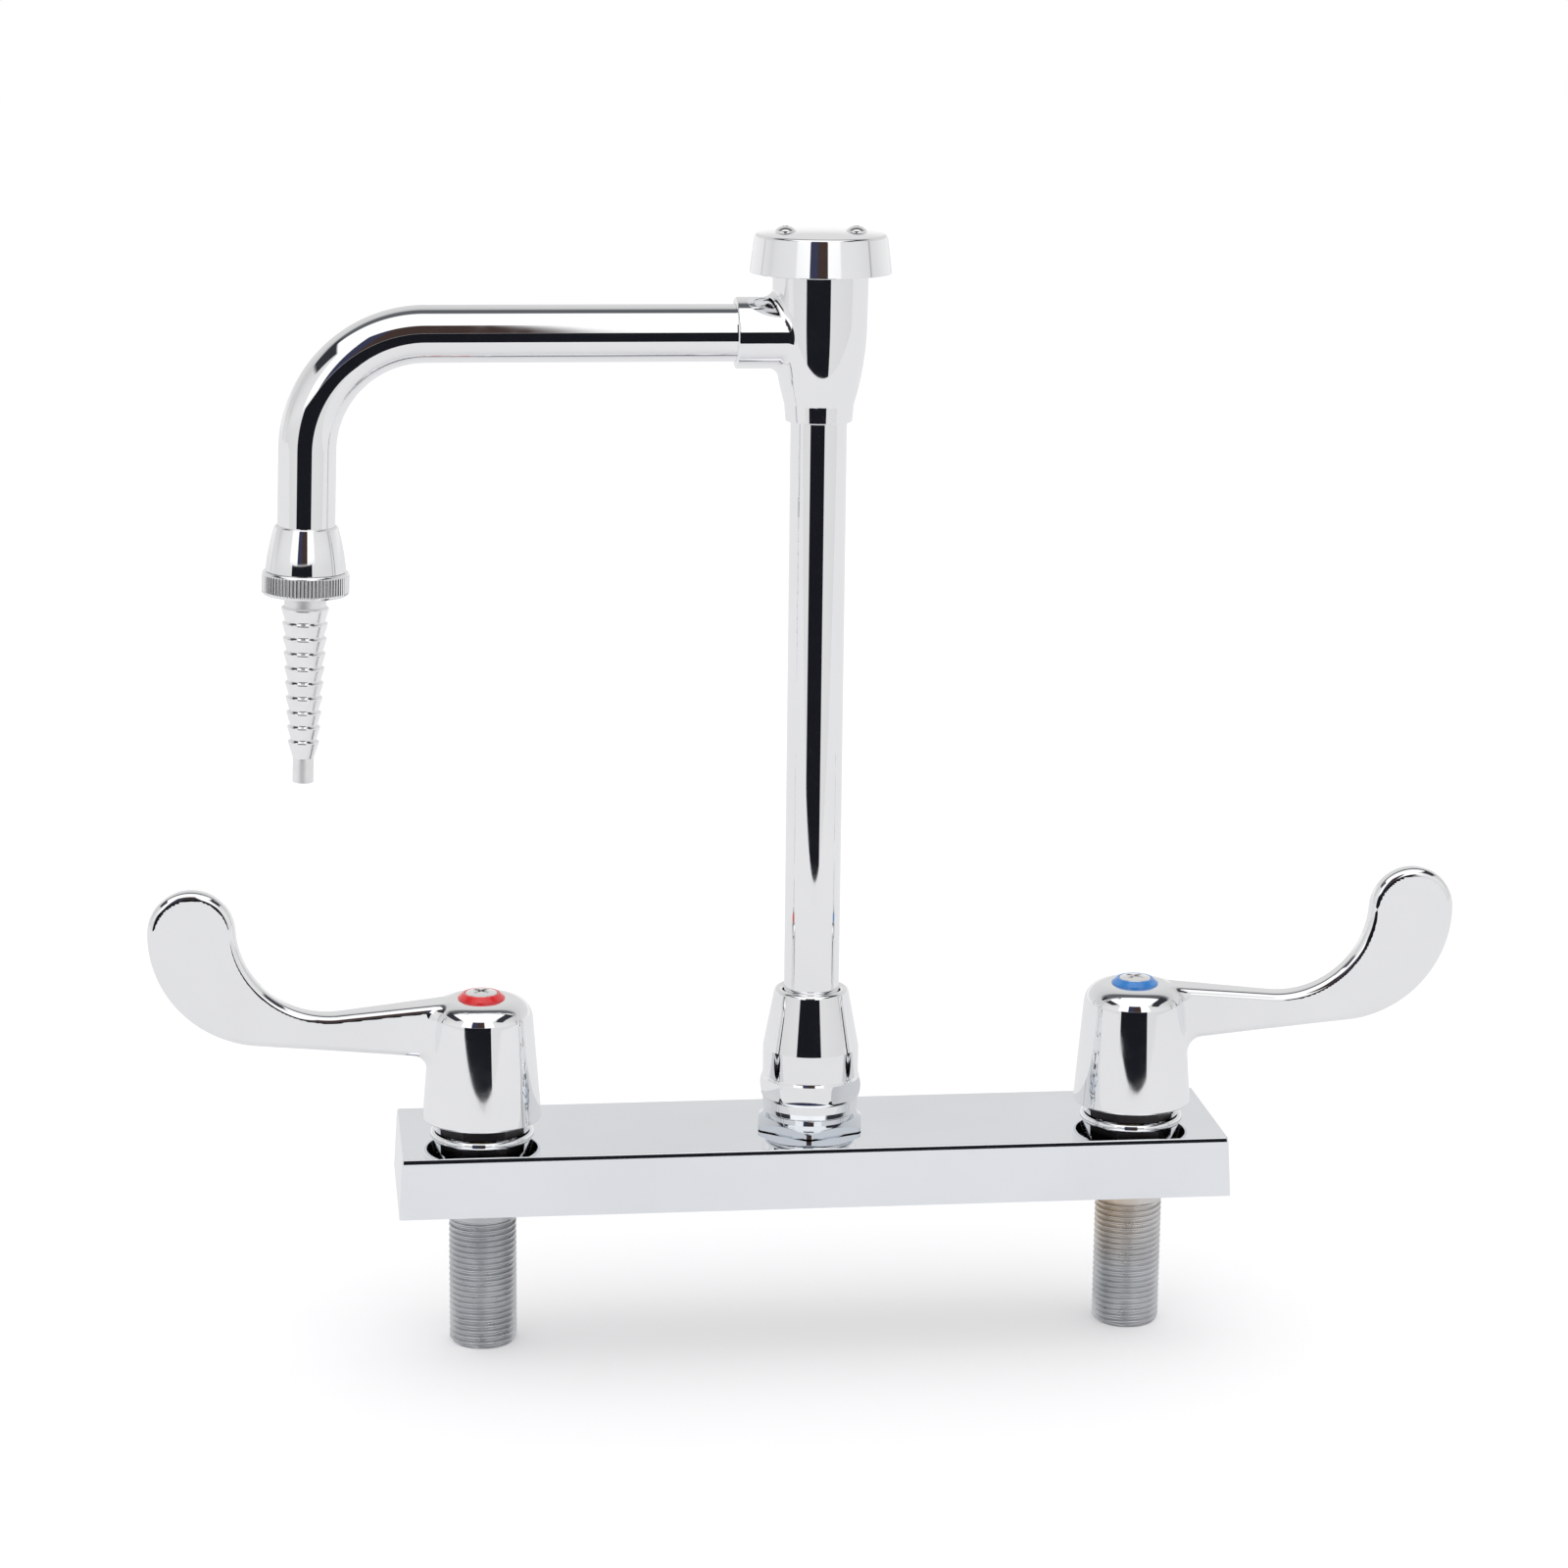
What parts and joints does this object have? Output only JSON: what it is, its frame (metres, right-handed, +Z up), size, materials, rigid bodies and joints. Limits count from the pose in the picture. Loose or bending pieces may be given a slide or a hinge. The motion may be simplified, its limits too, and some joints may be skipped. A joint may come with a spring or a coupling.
{
  "type": "deck-mount laboratory faucet",
  "caption": "Deck-mounted mixing faucet with two wrist-blade levers, a swinging riser and arm, a vacuum breaker and a serrated hose nozzle.",
  "frame": {"origin": "deck plane under the body, on the axis of the riser", "axes": "+Z up, +X from the hot lever to the cold lever, +Y away from the user"},
  "size_m": [0.404, 0.0544, 0.3447],
  "materials": {
    "body_chrome": "polished chrome plate on forged brass",
    "fitting_chrome": "polished chrome plate on turned brass",
    "handle_chrome": "polished chrome plate on a forged lever",
    "tube_chrome": "polished chrome plate on drawn brass tube",
    "breaker_chrome": "polished chrome plate on cast and pressed brass",
    "nozzle_satin": "bright chrome plate with a slightly satin turned surface",
    "shank_brass": "dull grey plate with a little brassy tarnish, rolled thread",
    "inner_brass": "turned brass, unplated",
    "screw_steel": "stainless screw head",
    "clip_steel": "spring steel",
    "disc_ceramic": "lapped white ceramic",
    "seal_rubber": "black moulded rubber",
    "bearing_plastic": "natural acetal",
    "float_plastic": "moulded acetal",
    "hot_index": "red moulded ring",
    "cold_index": "blue moulded ring"
  },
  "bodies": {
    "base": {"deck_body": "body_chrome", "deck_gasket": "seal_rubber", "spout_adapter": "fitting_chrome", "spout_nut": "fitting_chrome", "friction_ring": "bearing_plastic", "hot_shank": "shank_brass", "hot_seat_seal": "seal_rubber", "hot_cartridge_sleeve": "inner_brass", "hot_fixed_disc": "disc_ceramic", "hot_bonnet_nut": "fitting_chrome", "cold_shank": "shank_brass", "cold_seat_seal": "seal_rubber", "cold_cartridge_sleeve": "inner_brass", "cold_fixed_disc": "disc_ceramic", "cold_bonnet_nut": "fitting_chrome"},
    "hot_lever": {"hot_handle": "handle_chrome", "hot_index_ring": "hot_index", "hot_handle_screw": "screw_steel", "hot_stem": "inner_brass", "hot_moving_disc": "disc_ceramic", "hot_stem_o_ring": "seal_rubber", "hot_stem_clip": "clip_steel"},
    "cold_lever": {"cold_handle": "handle_chrome", "cold_index_ring": "cold_index", "cold_handle_screw": "screw_steel", "cold_stem": "inner_brass", "cold_moving_disc": "disc_ceramic", "cold_stem_o_ring": "seal_rubber", "cold_stem_clip": "clip_steel"},
    "spout": {"spout_spud": "inner_brass", "spud_o_rings": "seal_rubber", "riser_tube": "tube_chrome", "vb_body": "breaker_chrome", "vb_bonnet": "inner_brass", "vb_bonnet_gasket": "seal_rubber", "vb_cap": "breaker_chrome", "vb_cap_screws": "screw_steel", "arm_tube": "tube_chrome", "outlet_coupling": "fitting_chrome", "nozzle_washer": "seal_rubber", "serrated_nozzle": "nozzle_satin"},
    "float": {"vb_float": "float_plastic", "vb_float_seal": "seal_rubber"}
  },
  "joints": [
    {"name": "spout_swing", "type": "hinge", "parent": "base", "child": "spout", "pos_m": [0, 0, 0.036], "axis": [0, 0, 1], "continuous": true},
    {"name": "hot_lever_turn", "type": "hinge", "parent": "base", "child": "hot_lever", "pos_m": [-0.1016, 0, 0.0226], "axis": [0, 0, 1], "range_deg": [0, 90]},
    {"name": "cold_lever_turn", "type": "hinge", "parent": "base", "child": "cold_lever", "pos_m": [0.1016, 0, 0.0226], "axis": [0, 0, 1], "range_deg": [-90, 0]},
    {"name": "float_lift", "type": "slide", "parent": "spout", "child": "float", "axis": [0, 0, 1], "range_m": [0, 0.011]}
  ]
}
